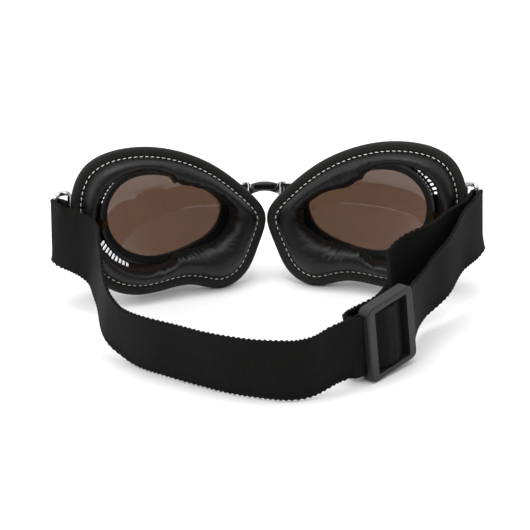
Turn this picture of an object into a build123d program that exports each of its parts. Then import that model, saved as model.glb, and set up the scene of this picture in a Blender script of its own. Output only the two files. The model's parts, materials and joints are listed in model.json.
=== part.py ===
from build123d import *
import copy
import math
import os
import numpy as np

# Riding goggles: two chrome cups hinged to a nose bridge, leather face pads behind them, and an
# elastic head strap that runs from one side loop, round the back and through a slider, to the other.
# Millimetres. +Z is up, +X is the wearer's right and the lenses look along +Y.
# The origin is under the middle of the whole object, on the surface that it stands on.

# ---- driving dimensions -------------------------------------------------------------------------
# face pad and cup, drawn flat: U runs outwards from the nose, V up, W forwards from the pad's seam
PAD_LENGTH = 98.0        # nose point to temple edge, along U
PAD_HEIGHT = 71.2        # cheek to brow, along V
PAD_GAP = 1.0            # between the two pads' nose points
CUP_WRAP = 17.0          # each cup turns back by this much, degrees
REST_PITCH = 13.0        # the cups lean forwards on their front rims, degrees

LENS_LENGTH = 58.8       # clear opening of the lens
LENS_HEIGHT = 40.0
LENS_CENTRE_U = 46.6
LENS_CENTRE_V = 0.3
LENS_RADIUS = 88.0       # outer face of the lens
LENS_THICKNESS = 2.0
LENS_FRONT_W = 23.0      # the lens's foremost point
LENS_SEAT = 3.2          # lens edge beyond the clear opening
SEAT_CLEARANCE = 0.1

LIP_THICKNESS = 2.0      # chrome lip in front of the lens
LIP_INSET = 0.8          # lip edge beyond the clear opening
RIM_WALL = 1.4           # chrome outside the lens seat
RIM_DEPTH = 8.0
RETAINER_THICKNESS = 2.4

FLANGE_START_W = 3.0
FLANGE_THICKNESS = 1.8
FLANGE_INSET = 1.6       # flange edge inside the pad's edge
FLANGE_WIDTH = 8.4
WALL_THICKNESS = 1.9
WALL_FOOT_INSET = 7.0    # outside of the cup's wall at the flange, inside the pad's edge
WALL_TOP_W = 15.0

VENT_COUNT = 9           # in each of the two groups of a cup
VENT_WIDTH = 1.2
VENT_START = 17.0        # degrees above and below the temple side's middle
VENT_END = 46.0
VENT_LENGTH = 7.0

BAND_WIDTH = 4.8         # leather band round the pad's edge
BAND_DEPTH = 2.3
BAND_CLEARANCE = 0.1
CUSHION_DEPTH = 8.0      # behind the seam
CUSHION_INNER = 3.4      # cushion's inner edge beyond the lens opening
CUSHION_ROUND = 3.6
TEMPLE_ROOM = 7.5        # the pad's opening is wider by this on the temple side, clear of the vents
BACKING_THICKNESS = 1.8
BACKING_INSET = 0.7

# nose bridge
HINGE_X = 9.0            # hinge pin from the middle
HINGE_Y = 15.5
HINGE_Z = 8.7
HINGE_PIN_RADIUS = 0.9
HINGE_CLEARANCE = 0.05
KNUCKLE_RADIUS = 2.4
BRIDGE_HEIGHT = 4.6
BRIDGE_DEPTH = 3.6
BRIDGE_ARC_RADIUS = 16.0
EAR_THICKNESS = 1.6
EAR_GAP = 0.15
EAR_SWING = 3.1
LUG_END_U = 18.5
INSERT_LENGTH = 10.0
INSERT_HEIGHT = 2.4
INSERT_DEPTH = 1.2
PIN_HEAD_RADIUS = 1.7
PIN_HEAD_HEIGHT = 0.7

# side loops, wire bent to a rectangle round the strap
STRAP_WIDTH = 30.0
STRAP_THICKNESS = 1.5
LOOP_WIRE_RADIUS = 1.3
LOOP_REACH = 8.0         # pivot bar to strap bar
LOOP_PIVOT_INSET = 2.0   # pivot bar inside the pad's temple edge
LOOP_PIVOT_W = 8.0
LOOP_PIVOT_V = -0.5
LOOP_ANGLES = {"right": 40.0, "left": 24.0}  # each loop hangs back from its cup's line, degrees
LOOP_PIVOT_U = PAD_LENGTH - LOOP_PIVOT_INSET
BRACKET_HEIGHT = 15.0
BRACKET_RADIUS = 2.9
BRACKET_CLEARANCE = 0.06
BRACKET_PLATE = 1.4
BRACKET_SEAT_START = 0.8  # along the slope of the cup's wall, from the rim outwards
BRACKET_SEAT_END = 9.0
BRACKET_SEAT_HEIGHT = 0.5
RIVET_PLACE = 4.2
RIVET_RADIUS = 1.5
RIVET_HEAD_RADIUS = 2.4
RIVET_HEAD_HEIGHT = 0.9
RIVET_NUT_DEPTH = 5.4    # inner end of the brass nut, below the wall's outer surface
RIVET_NUT_START = 2.2

# slider, in its own frame: X along the strap to the wearer's left, Y out of its front face, Z up
SLIDER_LENGTH = 32.0
SLIDER_HEIGHT = STRAP_WIDTH + 7.0
SLIDER_FRONT = 2.4
SLIDER_CORNER = 3.5
OUTER_BAR_WIDTH = 4.8
OUTER_BAR_BACK = -0.8
CENTRE_BAR_WIDTH = 3.4
CENTRE_BAR_THICKNESS = 2.5
CENTRE_BAR_ROUND = 1.2
CENTRE_BAR_GAP = 0.1     # the centre bar stands this far behind the outer bars' backs
SLOT_CLEARANCE = 0.6     # above and below the strap
LAYER_GAP = 0.05         # between the strap and what it lies against
SLIDER_ALONG = (-23.0, -23.4, -3.0)
SLIDER_UP = (-3.8, -2.0, 36.0)
SLIDER_LIFT = 1.4        # its right end is carried off the floor
SEWN_TAIL = 9.5          # the cut end of the strap, left of the centre bar
FOLD_START = 15.5
FOLD_RADIUS = 3.1

# strap
WRAP_FACING = 82.0       # middle of the strap's turn round a loop's bar, degrees from U to W
TAIL_LENGTH = 8.0        # sewn end behind the left loop
STRAP_DEPTH = 112.7      # from the loops' bars back to the strap's furthest point
EDGE_LIFT = 0.45
SECTION_SPACING = 5.0

OUTLINE_POINTS = 40

# the strap as it lies: across and back as shares of the span between the loops' bars and of
# STRAP_DEPTH, height as a share of the way from lying on its edge up to the bars' level, and the
# lean of its width away from upright, along X and Y
SLIDER_PLACE = (0.492, 0.763)
MAIN_RUN = [
    (-0.989, 0.050, 0.98, 0.00, 0.22), (-0.939, 0.095, 0.97, 0.00, 0.25),
    (-0.884, 0.139, 0.95, 0.00, 0.30), (-0.844, 0.192, 0.87, 0.10, 0.20),
    (-0.824, 0.272, 0.75, 0.07, 0.10), (-0.809, 0.365, 0.59, 0.04, 0.00),
    (-0.797, 0.463, 0.39, 0.03, -0.10), (-0.773, 0.538, 0.20, 0.02, -0.25),
    (-0.720, 0.605, 0.06, 0.01, -0.33), (-0.664, 0.667, 0.01, 0.00, -0.27),
    (-0.590, 0.733, 0.01, 0.00, -0.20), (-0.476, 0.802, 0.00, 0.00, -0.15),
    (-0.363, 0.873, 0.00, 0.00, -0.15), (-0.250, 0.933, 0.00, 0.00, -0.09),
    (-0.137, 0.974, 0.00, 0.00, -0.07), (-0.024, 0.999, 0.00, 0.00, 0.00),
    (0.053, 1.000, 0.00, 0.00, 0.00), (0.131, 0.979, 0.03, 0.00, 0.00),
    (0.183, 0.947, 0.07, 0.00, 0.00), (0.230, 0.919, 0.12, -0.03, -0.02),
    (0.278, 0.895, 0.15, -0.06, -0.03), (0.325, 0.877, 0.17, -0.09, -0.05),
]
OUTER_RUN = [
    (0.996, 0.055, 0.98, 0.00, 0.23), (0.963, 0.103, 0.94, 0.00, 0.20),
    (0.897, 0.192, 0.82, 0.10, 0.13), (0.820, 0.299, 0.57, 0.08, 0.03),
    (0.712, 0.405, 0.30, 0.14, 0.00), (0.657, 0.499, 0.23, 0.05, 0.00),
    (0.629, 0.578, 0.23, -0.04, -0.02),
]
INNER_RUN = [
    (0.943, 0.077, 0.97, 0.00, 0.22), (0.892, 0.133, 0.95, 0.00, 0.20),
    (0.833, 0.192, 0.93, 0.00, 0.20), (0.753, 0.281, 0.89, 0.00, 0.15),
    (0.672, 0.334, 0.84, 0.00, 0.20), (0.606, 0.372, 0.73, 0.00, 0.20),
    (0.563, 0.414, 0.63, 0.00, 0.28), (0.533, 0.481, 0.53, 0.00, 0.30),
    (0.515, 0.570, 0.40, 0.00, 0.20), (0.483, 0.658, 0.28, -0.05, 0.05),
    (0.433, 0.717, 0.24, -0.10, -0.04),
]

# the pad's edge as shares of its length and height, from the nose point round by the cheek
PAD_OUTLINE = [
    (0.0, 0.0), (0.035, -0.195), (0.115, -0.400), (0.235, -0.480), (0.385, -0.443), (0.56, -0.469),
    (0.72, -0.470), (0.875, -0.355), (0.965, -0.120), (0.998, 0.150), (0.925, 0.410), (0.71, 0.519),
    (0.48, 0.489), (0.26, 0.360), (0.085, 0.165),
]
# the lens opening as shares of its length and height, from its middle, nose end first
LENS_OUTLINE = [
    (-0.5, 0.01), (-0.43, -0.215), (-0.205, -0.41), (0.07, -0.492), (0.325, -0.38), (0.476, -0.10),
    (0.483, 0.175), (0.34, 0.44), (0.10, 0.508), (-0.17, 0.412), (-0.405, 0.235),
]


# ---- outlines -----------------------------------------------------------------------------------
def closed_curve(points, y=0.0):
    """A smooth closed curve through (u, v) points at depth y."""
    return Spline(*[(u, y, v) for u, v in points], periodic=True)


PAD_EDGE = closed_curve([(u * PAD_LENGTH, v * PAD_HEIGHT) for u, v in PAD_OUTLINE])
LENS_EDGE = closed_curve(
    [(LENS_CENTRE_U + u * LENS_LENGTH, LENS_CENTRE_V + v * LENS_HEIGHT) for u, v in LENS_OUTLINE]
)


def grown(edge, grow):
    """The closed curve moved outwards by grow, as radius against angle round the lens's middle."""
    samples = 360
    angles, radii = [], []
    for i in range(samples):
        p = edge.position_at(i / samples)
        t = edge.tangent_at(i / samples)
        u = p.X + t.Z * grow - LENS_CENTRE_U
        v = p.Z - t.X * grow - LENS_CENTRE_V
        angles.append(math.atan2(v, u))
        radii.append(math.hypot(u, v))
    order = np.argsort(angles)
    return np.array(angles)[order], np.array(radii)[order]


def radius_at(edge, grow, angle):
    angles, radii = grown(edge, grow)
    return float(np.interp(angle, angles, radii, period=2 * math.pi))


def outline(edge, grow, y, temple=0.0):
    """A planar face at depth y, bounded by the closed curve moved outwards by grow.

    temple moves it further out on the temple side, fading to nothing at brow and cheek."""
    angles, radii = grown(edge, grow)
    points = []
    for i in range(OUTLINE_POINTS):
        a = 2 * math.pi * i / OUTLINE_POINTS - math.pi
        r = float(np.interp(a, angles, radii, period=2 * math.pi))
        r += temple * max(0.0, math.cos(a)) ** 0.7
        points.append((LENS_CENTRE_U + r * math.cos(a), LENS_CENTRE_V + r * math.sin(a)))
    return Face(Wire([closed_curve(points, y)]))


def slab(edge, grow, start, end, temple=0.0):
    return Solid.extrude(outline(edge, grow, start, temple), Vector(0, end - start, 0))


def ring(edge, outer, inner, start, end):
    return slab(edge, outer, start, end) - slab(edge, inner, start - 1, end + 1)


def bent_wire(points, radius):
    """A wire through the points with each bend rounded, as far as its neighbours leave room."""
    points = [Vector(*p) for p in points]
    edges = []
    place = points[0]
    for before, corner, after in zip(points, points[1:], points[2:]):
        into, out = corner - before, after - corner
        half_turn = math.radians(into.get_angle(out)) / 2
        room = 0.48 * min(into.length, out.length)
        cut = min(room, radius * math.tan(half_turn))
        start, end = corner - into.normalized() * cut, corner + out.normalized() * cut
        edges.append(Edge.make_line(place, start))
        edges.append(Edge.make_tangent_arc(start, into, end))
        place = end
    edges.append(Edge.make_line(place, points[-1]))
    return Wire(edges)


def webbing(points, radius):
    """Strap laid along (x, y) points, its width along Z."""
    path = bent_wire([(x, y, 0) for x, y in points], radius)
    start = Plane(origin=path @ 0, z_dir=path % 0, x_dir=(0, 0, 1))
    return sweep(start * Rectangle(STRAP_WIDTH, STRAP_THICKNESS), path=path)


def ball(radius):
    return Pos(LENS_CENTRE_U, LENS_FRONT_W - LENS_RADIUS, LENS_CENTRE_V) * Sphere(radius)


# ---- the right cup, in its own U, W, V frame -----------------------------------------------------
def make_lens():
    inside = LENS_RADIUS - LENS_THICKNESS
    shell = ball(LENS_RADIUS) - ball(inside)
    return slab(LENS_EDGE, LENS_SEAT, 0, LENS_FRONT_W + 5) & shell


def make_retainer():
    outside = LENS_RADIUS - LENS_THICKNESS - LAYER_GAP / 3
    shell = ball(outside) - ball(outside - RETAINER_THICKNESS)
    return ring(LENS_EDGE, LENS_SEAT, 0, 0, LENS_FRONT_W + 5) & shell


def make_frame():
    lip_outside = LENS_RADIUS + SEAT_CLEARANCE / 2 + LIP_THICKNESS
    rim_grow = LENS_SEAT + SEAT_CLEARANCE + RIM_WALL
    rim = ring(LENS_EDGE, rim_grow, LIP_INSET, -2, LENS_FRONT_W + 8)
    rim = rim & (ball(lip_outside) - ball(lip_outside - RIM_DEPTH))
    foot = outline(PAD_EDGE, -WALL_FOOT_INSET, FLANGE_START_W + FLANGE_THICKNESS / 2)
    top = outline(LENS_EDGE, rim_grow, WALL_TOP_W)
    inner_foot = outline(PAD_EDGE, -WALL_FOOT_INSET - WALL_THICKNESS, FLANGE_START_W - 0.5)
    inner_top = outline(LENS_EDGE, rim_grow - WALL_THICKNESS, WALL_TOP_W + 0.5)
    wall = Solid.make_loft([foot.outer_wire(), top.outer_wire()], ruled=True)
    hollow = Solid.make_loft([inner_foot.outer_wire(), inner_top.outer_wire()], ruled=True)
    flange_end = FLANGE_START_W + FLANGE_THICKNESS
    flange = ring(PAD_EDGE, -FLANGE_INSET, -FLANGE_INSET - FLANGE_WIDTH, FLANGE_START_W, flange_end)
    seat = slab(LENS_EDGE, LENS_SEAT + SEAT_CLEARANCE, -4, LENS_FRONT_W + 5)
    seat = seat & ball(LENS_RADIUS + SEAT_CLEARANCE / 2)
    body = (wall - hollow) + flange + rim - seat
    body = body - vents(rim_grow)
    return body + nose_lug() - nose_slot()


def vents(rim_grow):
    """Radial slots through the temple side of the wall, in a group above and a group below."""
    cutters = []
    for side in (1, -1):
        for i in range(VENT_COUNT):
            degrees = side * (VENT_START + (VENT_END - VENT_START) * i / (VENT_COUNT - 1))
            inner = radius_at(LENS_EDGE, rim_grow + 0.6, math.radians(degrees))
            room = radius_at(PAD_EDGE, -FLANGE_INSET - FLANGE_WIDTH, math.radians(degrees)) - inner
            length = min(VENT_LENGTH, room - 0.4)
            if length < 2 * VENT_WIDTH:
                continue
            box = Pos(inner + length / 2, 0, 0) * Box(length, 60, VENT_WIDTH)
            cutters.append(Pos(LENS_CENTRE_U, 0, LENS_CENTRE_V) * Rot(0, -degrees, 0) * box)
    return Compound(children=cutters)


def hinge_in_cup():
    """Where the bridge's hinge axis stands in the cup's own U and W."""
    turn = math.radians(CUP_WRAP)
    x, y = HINGE_X - PAD_GAP / 2, HINGE_Y
    return x * math.cos(turn) - y * math.sin(turn), x * math.sin(turn) + y * math.cos(turn)


def upright(radius, height, u, w, v):
    """A cylinder along V, centred at (u, w, v)."""
    return Pos(u, w, v) * Cylinder(radius, height)


def nose_lug():
    u, w = hinge_in_cup()
    height = BRIDGE_HEIGHT + 2 * (EAR_GAP + EAR_THICKNESS)
    arm_length = LUG_END_U - u
    arm = Pos(u + arm_length / 2, w - 0.6, HINGE_Z) * Box(arm_length, KNUCKLE_RADIUS * 2 - 1.2, height)
    lug = arm + upright(KNUCKLE_RADIUS, height, u, w, HINGE_Z)
    lens_side = slab(LENS_EDGE, LENS_SEAT + SEAT_CLEARANCE + 0.8, -4, LENS_FRONT_W + 6)
    return lug - lens_side


def nose_slot():
    u, w = hinge_in_cup()
    gap = BRIDGE_HEIGHT + 2 * EAR_GAP
    slot = upright(EAR_SWING, gap, u, w, HINGE_Z)
    slot += Pos(u - 6, w, HINGE_Z) * Box(12, 2 * EAR_SWING + 8, gap)
    return slot + upright(HINGE_PIN_RADIUS, 4 * BRIDGE_HEIGHT, u, w, HINGE_Z)


def make_hinge_pin():
    u, w = hinge_in_cup()
    ears = BRIDGE_HEIGHT + 2 * (EAR_GAP + EAR_THICKNESS)
    pin = upright(HINGE_PIN_RADIUS, ears, u, w, HINGE_Z)
    for side in (1, -1):
        middle = HINGE_Z + side * (ears + PIN_HEAD_HEIGHT) / 2
        pin += upright(PIN_HEAD_RADIUS, PIN_HEAD_HEIGHT, u, w, middle)
    return pin


def make_backing():
    start = FLANGE_START_W - BACKING_THICKNESS
    hole = slab(LENS_EDGE, CUSHION_INNER, start - 1, FLANGE_START_W + 1, TEMPLE_ROOM)
    return slab(PAD_EDGE, -BACKING_INSET, start, FLANGE_START_W) - hole


def make_band():
    end = FLANGE_START_W - BACKING_THICKNESS
    return ring(PAD_EDGE, 0, -BAND_WIDTH, end - BAND_DEPTH, end)


def taper(edge, grow, end, start_grow, start, temple=0.0):
    """A solid between the outline grown one way at depth end and another way at depth start."""
    faces = outline(edge, start_grow, start, temple), outline(edge, grow, end, temple)
    return Solid.make_loft([f.outer_wire() for f in faces], ruled=True)


def make_face_pad():
    """Foam covered in leather, narrower at its crest."""
    outer, inner = -BAND_WIDTH - BAND_CLEARANCE, CUSHION_INNER
    end = FLANGE_START_W - BACKING_THICKNESS
    shoulder, crest = CUSHION_ROUND - CUSHION_DEPTH, -CUSHION_DEPTH
    body = slab(PAD_EDGE, outer, shoulder, end)
    body += taper(PAD_EDGE, outer, shoulder, outer - CUSHION_ROUND, crest)
    body -= slab(LENS_EDGE, inner, shoulder, end + 1, TEMPLE_ROOM)
    funnel_wide = inner + CUSHION_ROUND
    return body - taper(LENS_EDGE, inner, shoulder, funnel_wide, crest - 0.01, TEMPLE_ROOM)


def wall_slope():
    """The temple side of the wall: its top, its direction outwards and its outward normal, in U, W."""
    top_u = LENS_CENTRE_U + radius_at(LENS_EDGE, LENS_SEAT + SEAT_CLEARANCE + RIM_WALL, 0.0)
    foot_u = LENS_CENTRE_U + radius_at(PAD_EDGE, -WALL_FOOT_INSET, 0.0)
    foot_w = FLANGE_START_W + FLANGE_THICKNESS / 2
    run = Vector(foot_u - top_u, foot_w - WALL_TOP_W, 0).normalized()
    return Vector(top_u, WALL_TOP_W, 0), run, Vector(-run.Y, run.X, 0)


def on_wall(along, out):
    """A placement on the wall's slope: local X runs down the slope, local Y points out of it."""
    top, run, normal = wall_slope()
    spot = top + run * along + normal * out
    plane = Plane(origin=(spot.X, spot.Y, LOOP_PIVOT_V), x_dir=(run.X, run.Y, 0), z_dir=(0, 0, 1))
    return plane.location


def make_bracket():
    """Plate riveted to the cup's temple side, rolled round the loop's pivot bar."""
    length = BRACKET_SEAT_END - BRACKET_SEAT_START
    middle = (BRACKET_SEAT_START + BRACKET_SEAT_END) / 2
    plate = on_wall(middle, BRACKET_SEAT_HEIGHT + BRACKET_PLATE / 2) * Box(
        length, BRACKET_PLATE, BRACKET_HEIGHT
    )
    bend = on_wall(BRACKET_SEAT_END - 0.5, BRACKET_SEAT_HEIGHT + BRACKET_PLATE / 2).position
    du, dw = LOOP_PIVOT_U - bend.X, LOOP_PIVOT_W - bend.Y
    neck = Pos((bend.X + LOOP_PIVOT_U) / 2, (bend.Y + LOOP_PIVOT_W) / 2, LOOP_PIVOT_V)
    neck = neck * Rot(0, 0, math.degrees(math.atan2(dw, du))) * Box(
        math.hypot(du, dw) + 1.0, BRACKET_PLATE, BRACKET_HEIGHT
    )
    barrel = upright(BRACKET_RADIUS, BRACKET_HEIGHT, LOOP_PIVOT_U, LOOP_PIVOT_W, LOOP_PIVOT_V)
    bore_radius = LOOP_WIRE_RADIUS + BRACKET_CLEARANCE
    bore = upright(bore_radius, 3 * BRACKET_HEIGHT, LOOP_PIVOT_U, LOOP_PIVOT_W, LOOP_PIVOT_V)
    return plate + neck + barrel - bore - make_rivet()


def make_bracket_seat():
    """A flat boss on the curved wall, under the bracket's plate."""
    length = BRACKET_SEAT_END - BRACKET_SEAT_START - 1.0
    middle = (BRACKET_SEAT_START + BRACKET_SEAT_END) / 2
    depth = BRACKET_SEAT_HEIGHT + 1.5
    return on_wall(middle, BRACKET_SEAT_HEIGHT - depth / 2) * Box(length, depth, BRACKET_HEIGHT - 1)


def make_rivet():
    """Brass rivet through plate and wall, with a long nut inside the cup."""
    plate_top = BRACKET_SEAT_HEIGHT + BRACKET_PLATE

    def turned(radius, start, end):
        return on_wall(RIVET_PLACE, (start + end) / 2) * Rot(90, 0, 0) * Cylinder(radius, end - start)

    shank = turned(RIVET_RADIUS, -RIVET_NUT_START, plate_top)
    head = turned(RIVET_HEAD_RADIUS, plate_top, plate_top + RIVET_HEAD_HEIGHT)
    nut = turned(RIVET_HEAD_RADIUS, -RIVET_NUT_DEPTH, -RIVET_NUT_START)
    return shank + head + nut


def loop_bar(side):
    """Where the strap's bar of a side's loop stands in the cup's own U and W."""
    a = math.radians(LOOP_ANGLES[side])
    return LOOP_PIVOT_U + LOOP_REACH * math.cos(a), LOOP_PIVOT_W - LOOP_REACH * math.sin(a)


def make_loop(side):
    """Rectangular wire loop: one long bar turns in the bracket, the other holds the strap."""
    half = STRAP_WIDTH / 2 + SLOT_CLEARANCE + LOOP_WIRE_RADIUS
    corners = [(0, 0, half), (LOOP_REACH, 0, half), (LOOP_REACH, 0, -half), (0, 0, -half)]
    path = bent_wire([(0, 0, 0), *corners, (0, 0, 0)], LOOP_WIRE_RADIUS + 0.9)
    wire = sweep(Circle(LOOP_WIRE_RADIUS), path=path)
    return Pos(LOOP_PIVOT_U, LOOP_PIVOT_W, LOOP_PIVOT_V) * Rot(0, 0, -LOOP_ANGLES[side]) * wire


def make_wrap(side):
    """The strap's half turn round the loop's bar."""
    u, w = loop_bar(side)
    inner = LOOP_WIRE_RADIUS + LAYER_GAP
    outer = inner + STRAP_THICKNESS
    turn = Cylinder(outer, STRAP_WIDTH) - Cylinder(inner, STRAP_WIDTH)
    turn = turn & Pos(outer, 0, 0) * Box(2 * outer, 4 * outer, STRAP_WIDTH)
    return Pos(u, w, LOOP_PIVOT_V) * Rot(0, 0, WRAP_FACING) * turn


def build_cup():
    rivet = make_rivet()
    return {
        "frame": make_frame() + make_bracket_seat() - rivet,
        "lens": make_lens(),
        "lens_retainer": make_retainer(),
        "pad_backing": make_backing(),
        "pad_edge_band": make_band(),
        "face_pad": make_face_pad(),
        "hinge_pin": make_hinge_pin(),
        "loop_bracket": make_bracket(),
        "bracket_rivet": rivet,
    }


# ---- nose bridge --------------------------------------------------------------------------------
def arc_top():
    """Height of the middle of the bridge's arch."""
    return HINGE_Z + BRIDGE_ARC_RADIUS - math.sqrt(BRIDGE_ARC_RADIUS**2 - HINGE_X**2)


def make_insert():
    middle = (0, HINGE_Y - (BRIDGE_DEPTH - INSERT_DEPTH) / 2, arc_top() - 0.3)
    return Pos(*middle) * Box(INSERT_LENGTH, INSERT_DEPTH, INSERT_HEIGHT)


def make_bridge():
    """Arched bar between the two hinge knuckles, recessed behind for its dark insert."""
    centre = Pos(0, HINGE_Y, arc_top() - BRIDGE_ARC_RADIUS) * Rot(90, 0, 0)
    arch = centre * Cylinder(BRIDGE_ARC_RADIUS + BRIDGE_HEIGHT / 2, BRIDGE_DEPTH)
    arch -= centre * Cylinder(BRIDGE_ARC_RADIUS - BRIDGE_HEIGHT / 2, 2 * BRIDGE_DEPTH)
    arch &= Pos(0, HINGE_Y, HINGE_Z + 5) * Box(2 * HINGE_X, 2 * BRIDGE_DEPTH, 30)
    for x in (-HINGE_X, HINGE_X):
        for side in (-1, 1):
            ear = Pos(x, HINGE_Y, HINGE_Z + side * (BRIDGE_HEIGHT / 2 + 5))
            arch -= ear * Cylinder(EAR_SWING, 10)
        arch += Pos(x, HINGE_Y, HINGE_Z) * Cylinder(KNUCKLE_RADIUS, BRIDGE_HEIGHT)
        arch -= Pos(x, HINGE_Y, HINGE_Z) * Cylinder(HINGE_PIN_RADIUS + HINGE_CLEARANCE, 30)
    return arch - make_insert()


# ---- slider -------------------------------------------------------------------------------------
def make_slider():
    """Frame with two front bars and a centre bar set back, so that the strap weaves through."""
    slot_height = STRAP_WIDTH + 2 * SLOT_CLEARANCE
    centre_back = OUTER_BAR_BACK - CENTRE_BAR_GAP - CENTRE_BAR_THICKNESS
    depth = SLIDER_FRONT - centre_back
    plate = Pos(0, (SLIDER_FRONT + centre_back) / 2, 0) * Box(SLIDER_LENGTH, depth, SLIDER_HEIGHT)
    plate = fillet(plate.edges().filter_by(Axis.Y), SLIDER_CORNER)
    rim = fillet(plate.faces().sort_by(Axis.Y)[-1].edges(), 0.9)
    window = SLIDER_LENGTH - 2 * OUTER_BAR_WIDTH
    frame = rim - Box(window, 3 * depth, slot_height)
    back = Pos(0, OUTER_BAR_BACK - depth / 2, 0) * Box(2 * SLIDER_LENGTH, depth, slot_height)
    bar_front = OUTER_BAR_BACK - CENTRE_BAR_GAP
    bar = Pos(0, bar_front - CENTRE_BAR_THICKNESS / 2, 0) * Box(
        CENTRE_BAR_WIDTH, CENTRE_BAR_THICKNESS, slot_height + 1
    )
    bar = fillet(bar.edges().filter_by(Axis.Z), CENTRE_BAR_ROUND)
    return frame - back + bar


def strap_levels():
    """Depths of the strap's middle: behind the outer bars, over and under the centre bar."""
    step = LAYER_GAP + STRAP_THICKNESS / 2
    bar_front = OUTER_BAR_BACK - CENTRE_BAR_GAP
    behind_outer = OUTER_BAR_BACK - step
    sewn_front = bar_front + step
    main_front = sewn_front + STRAP_THICKNESS + LAYER_GAP
    sewn_back = bar_front - CENTRE_BAR_THICKNESS - step
    return behind_outer, main_front, sewn_front, sewn_back


def make_strap_in_slider():
    outer, over, _, _ = strap_levels()
    end = SLIDER_LENGTH / 2 + 0.5
    bend = SLIDER_LENGTH / 2 - OUTER_BAR_WIDTH - 1.3
    side = [(end, outer), (bend, outer), (CENTRE_BAR_WIDTH / 2 + 1.2, over)]
    return webbing([(-x, y) for x, y in side] + side[::-1], 4.0)


def make_sewn_end():
    """The strap's other end: round the centre bar, sewn to itself, then folded back behind."""
    outer, _, front, back = strap_levels()
    tail = outer - STRAP_THICKNESS - 2 * LAYER_GAP
    under = tail - STRAP_THICKNESS - LAYER_GAP
    x = CENTRE_BAR_WIDTH / 2 + LAYER_GAP + STRAP_THICKNESS / 2
    end = FOLD_START + FOLD_RADIUS
    points = [(SEWN_TAIL, tail), (SEWN_TAIL - 3.2, tail), (x, front), (-x, front), (-x, back)]
    points += [(x, back), (x + 2.2, under), (end, under), (end, under - 2 * FOLD_RADIUS)]
    points += [(FOLD_START - 2.5, under - 2 * FOLD_RADIUS)]
    return webbing(points, FOLD_RADIUS)


# ---- placing ------------------------------------------------------------------------------------
PITCHED = Rot(-REST_PITCH, 0, 0)
WRAPPED = Pos(PAD_GAP / 2, 0, 0) * Rot(0, 0, -CUP_WRAP)


def rest_height(cup):
    """Height of the nose point when the lowest part of a cup touches the surface."""
    return -min((PITCHED * WRAPPED * shape).bounding_box().min.Z for shape in cup.values())


class StrapLayout:
    """Stations for the runs of webbing, once it is known where the cups rest."""

    def __init__(self, rest):
        self.rest = rest
        right, left = self.cup_point(1, *loop_bar("right")), self.cup_point(-1, *loop_bar("left"))
        self.span = {1: right.X, -1: -left.X}
        self.back, self.bar_level = (right.Y + left.Y) / 2, (right.Z + left.Z) / 2
        u, v = SLIDER_PLACE
        level = SLIDER_HEIGHT / 2 + SLIDER_LIFT
        along, up = Vector(*SLIDER_ALONG).normalized(), Vector(*SLIDER_UP)
        self.slider = Plane(
            origin=(u * self.span[1], self.back - v * STRAP_DEPTH, level),
            x_dir=along, z_dir=up - along * up.dot(along),
        ).location

    def cup_point(self, side, u, w):
        spot = (self.rest * WRAPPED * Pos(u, w, LOOP_PIVOT_V)).position
        return Vector(side * spot.X, spot.Y, spot.Z)

    def wrap_end(self, side, outboard):
        """The end of a loop's half turn of strap: its middle, its way out and its width."""
        u, w = loop_bar("right" if side > 0 else "left")
        middle = self.cup_point(side, u, w)
        facing = math.radians(WRAP_FACING)
        across = facing - math.copysign(math.pi / 2, outboard)
        r = LOOP_WIRE_RADIUS + LAYER_GAP + STRAP_THICKNESS / 2
        end = self.cup_point(side, u + r * math.cos(across), w + r * math.sin(across))
        way = middle - self.cup_point(side, u + math.cos(facing), w + math.sin(facing))
        pitch = math.radians(REST_PITCH)
        return end, way, Vector(0, math.sin(pitch), math.cos(pitch))

    def slider_end(self, x, y, facing):
        """A point of the strap in the slider's frame, with the way along it and its width."""
        spot = (self.slider * Pos(x, y, 0)).position
        along = (self.slider * Pos(x + facing, y, 0)).position - spot
        up = (self.slider * Pos(x, y, 1)).position - spot
        return spot, along, up

    def stations(self, rows):
        half = STRAP_WIDTH / 2
        for x, y, rise, lean_x, lean_y in rows:
            width = Vector(lean_x, lean_y, 1).normalized()
            level = half * width.Z + EDGE_LIFT + rise * (self.bar_level - half)
            span = self.span[1 if x > 0 else -1]
            yield Vector(x * span, self.back - y * STRAP_DEPTH, level), width

    def run(self, start, rows, end):
        """Webbing lofted from one end, (middle, way, width), through the rows to the other end."""
        inner = list(self.stations(rows))
        middles = [start[0], *(m for m, _ in inner), end[0]]
        widths = [start[2], *(w for _, w in inner), end[2]]
        line = Spline(*middles, tangents=[start[1], end[1]])
        marks = [line.param_at_point(m) for m in middles]
        count = max(4, round(line.length / SECTION_SPACING))
        corners = [[], [], [], []]
        for i in range(count + 1):
            at = i / count
            middle, along = line.position_at(at), line.tangent_at(at)
            width = Vector(*(np.interp(at, marks, [tuple(w)[k] for w in widths]) for k in range(3)))
            face = along.cross(width).normalized()
            h = face.cross(along).normalized() * (STRAP_WIDTH / 2)
            t = face * (STRAP_THICKNESS / 2)
            for path, corner in zip(corners, (h + t, h - t, -h - t, -h + t)):
                path.append(middle + corner)
        edges = [Edge.make_spline(path) for path in corners]
        sides = [Face.make_surface_from_curves(edges[i - 1], edges[i]) for i in range(4)]
        ends = [Face(Wire.make_polygon([path[i] for path in corners])) for i in (0, -1)]
        return Solid(Shell(sides + ends))


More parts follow.
